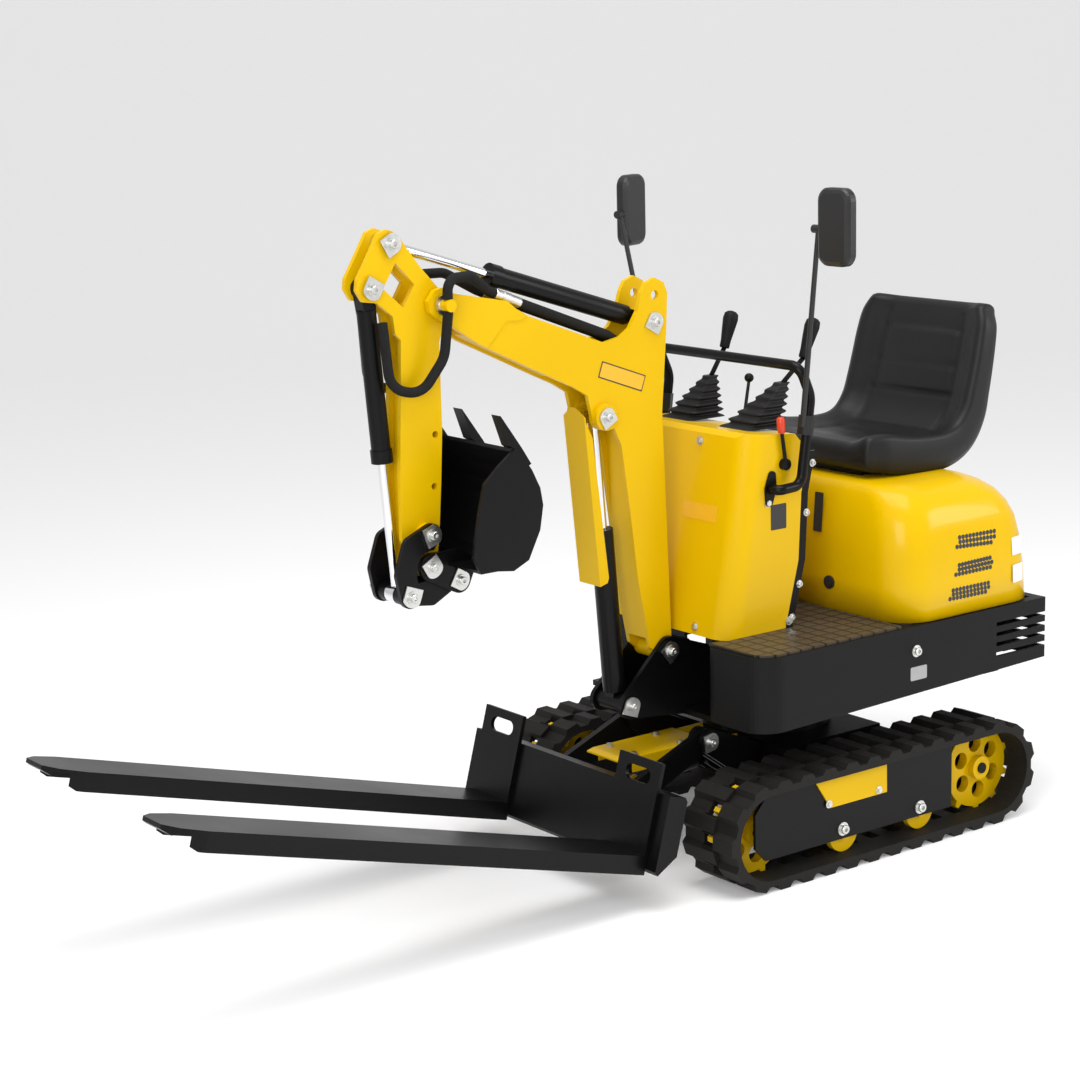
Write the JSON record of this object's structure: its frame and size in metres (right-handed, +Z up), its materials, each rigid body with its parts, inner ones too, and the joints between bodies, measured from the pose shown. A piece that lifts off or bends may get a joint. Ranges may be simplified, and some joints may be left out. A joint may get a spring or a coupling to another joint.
{
  "type": "mini excavator",
  "caption": "Compact tracked excavator with slewing upper body, boom, arm and bucket on hydraulic rams, an opening hood with seat, and a dozer blade that carries lifting forks.",
  "frame": {"origin": "on the ground, on the slewing axis", "axes": "+X to the machine's left, -Y to its front, +Z up; Z = 0 is the ground under the tracks' lugs"},
  "size_m": [0.924, 2.5487, 1.637],
  "materials": {
    "yellow_paint": "gloss yellow paint",
    "yellow_cover": "gloss yellow moulding",
    "black_paint": "satin black paint",
    "black_moulding": "textured black moulding",
    "black_rubber": "matt black rubber",
    "track_rubber": "matt black rubber",
    "floor_rubber": "matt brown-black ribbed rubber",
    "seat_vinyl": "soft black vinyl",
    "chrome_rod": "hard chrome",
    "mirror_black": "satin black plastic",
    "engine_grey": "grey cast iron",
    "tooth_steel": "black painted steel",
    "hose_sleeve": "woven black sleeve"
  },
  "bodies": {
    "undercarriage": {"center_frame": "black_paint", "side_frame_left": "black_paint", "side_frame_right": "black_paint", "track_left": "track_rubber", "track_right": "track_rubber", "sprocket_left": "yellow_paint", "sprocket_right": "yellow_paint", "idler_left": "yellow_paint", "idler_right": "yellow_paint", "track_rollers": "yellow_paint", "travel_motors": "black_paint", "frame_covers": "yellow_paint", "hose_guard": "yellow_paint"},
    "upper": {"turntable": "black_paint", "skirt": "black_moulding", "floor_mat": "floor_rubber", "console": "yellow_cover", "console_frame": "black_paint", "handrail": "black_paint", "mirror_left": "mirror_black", "mirror_right": "mirror_black", "lever_boots": "black_rubber", "joysticks": "black_moulding", "engine": "engine_grey", "slew_ring": "black_paint"},
    "hood": {"hood": "yellow_cover", "seat": "seat_vinyl", "seat_base": "black_paint"},
    "boom": {"boom": "yellow_paint", "boom_hoses": "hose_sleeve"},
    "boom_barrel": {"boom_ram_barrel": "black_paint"},
    "boom_rod": {"boom_ram_rod": "chrome_rod", "rod_guard": "yellow_paint"},
    "arm": {"arm": "yellow_paint", "arm_hoses": "hose_sleeve"},
    "arm_barrel": {"arm_ram_barrel": "black_paint"},
    "arm_rod": {"arm_ram_rod": "chrome_rod"},
    "bucket": {"bucket": "black_paint", "bucket_teeth": "tooth_steel"},
    "rocker": {"rocker": "black_paint"},
    "link": {"bucket_link": "black_paint"},
    "bucket_barrel": {"bucket_ram_barrel": "black_paint"},
    "bucket_rod": {"bucket_ram_rod": "chrome_rod"},
    "blade": {"blade": "black_paint", "fork_left": "black_paint", "fork_right": "black_paint"},
    "blade_barrel": {"blade_ram_barrel": "black_paint"},
    "blade_rod": {"blade_ram_rod": "chrome_rod"}
  },
  "joints": [
    {"name": "slew", "type": "hinge", "parent": "undercarriage", "child": "upper", "pos_m": [0, 0, 0.294], "axis": [0, 0, 1], "continuous": true},
    {"name": "boom_lift", "type": "hinge", "parent": "upper", "child": "boom", "pos_m": [0, -0.371, 0.512], "axis": [-1, 0, 0], "range_deg": [-70, 8]},
    {"name": "arm_in", "type": "hinge", "parent": "boom", "child": "arm", "pos_m": [0, -1.006, 1.415], "axis": [1, 0, 0], "range_deg": [-84, 6]},
    {"name": "bucket_curl", "type": "hinge", "parent": "arm", "child": "bucket", "pos_m": [0, -1.065, 0.827], "axis": [1, 0, 0], "range_deg": [-150, 8]},
    {"name": "blade_lift", "type": "hinge", "parent": "undercarriage", "child": "blade", "pos_m": [0, -0.332, 0.295], "axis": [-1, 0, 0], "range_deg": [-15.5, 5]},
    {"name": "hood_open", "type": "hinge", "parent": "upper", "child": "hood", "pos_m": [0, 0.578, 0.562], "axis": [-1, 0, 0], "range_deg": [0, 50]},
    {"name": "boom_barrel_swing", "type": "hinge", "parent": "upper", "child": "boom_barrel", "pos_m": [0, -0.497, 0.395], "axis": [-1, 0, 0], "range_deg": [-67.7, 7.9]},
    {"name": "boom_rod_slide", "type": "slide", "parent": "boom_barrel", "child": "boom_rod", "axis": [0, -0.0753, 0.9972], "range_m": [-0.1955, 0.0226]},
    {"name": "arm_barrel_swing", "type": "hinge", "parent": "boom", "child": "arm_barrel", "pos_m": [0, -0.392, 1.32], "axis": [1, 0, 0], "range_deg": [-11, 0.9]},
    {"name": "arm_rod_slide", "type": "slide", "parent": "arm_barrel", "child": "arm_rod", "axis": [0, -0.9514, 0.3081], "range_m": [-0.2227, 0.0162]},
    {"name": "bucket_barrel_swing", "type": "hinge", "parent": "arm", "child": "bucket_barrel", "pos_m": [0, -1.181, 1.462], "axis": [1, 0, 0], "range_deg": [-9.8, 0.7]},
    {"name": "bucket_rod_slide", "type": "slide", "parent": "bucket_barrel", "child": "bucket_rod", "axis": [0, 0.0803, -0.9968], "range_m": [-0.1575, 0.0087]},
    {"name": "rocker_swing", "type": "hinge", "parent": "arm", "child": "rocker", "pos_m": [0, -1.063, 0.902], "axis": [1, 0, 0], "range_deg": [-78, 4.4]},
    {"name": "link_swing", "type": "hinge", "parent": "rocker", "child": "link", "pos_m": [0, -1.125, 0.767], "axis": [1, 0, 0], "range_deg": [-6.2, 0.5]},
    {"name": "blade_barrel_swing", "type": "hinge", "parent": "undercarriage", "child": "blade_barrel", "pos_m": [0, -0.212, 0.205], "axis": [-1, 0, 0], "range_deg": [-11.4, 3.8]},
    {"name": "blade_rod_slide", "type": "slide", "parent": "blade_barrel", "child": "blade_rod", "axis": [0, -0.9956, -0.0935], "range_m": [-0.0299, 0.0098]}
  ],
  "couplings": [
    {"joint": "boom_barrel_swing", "follows": "boom_lift", "ratio": 0.965},
    {"joint": "boom_rod_slide", "follows": "boom_lift", "m_per_rad": 0.15979},
    {"joint": "arm_barrel_swing", "follows": "arm_in", "ratio": 0.1286},
    {"joint": "arm_rod_slide", "follows": "arm_in", "m_per_rad": 0.15173},
    {"joint": "bucket_barrel_swing", "follows": "bucket_curl", "ratio": 0.0636},
    {"joint": "bucket_rod_slide", "follows": "bucket_curl", "m_per_rad": 0.06002},
    {"joint": "rocker_swing", "follows": "bucket_curl", "ratio": 0.5181},
    {"joint": "link_swing", "follows": "bucket_curl", "ratio": 0.0398},
    {"joint": "blade_barrel_swing", "follows": "blade_lift", "ratio": 0.719},
    {"joint": "blade_rod_slide", "follows": "blade_lift", "m_per_rad": 0.109}
  ]
}
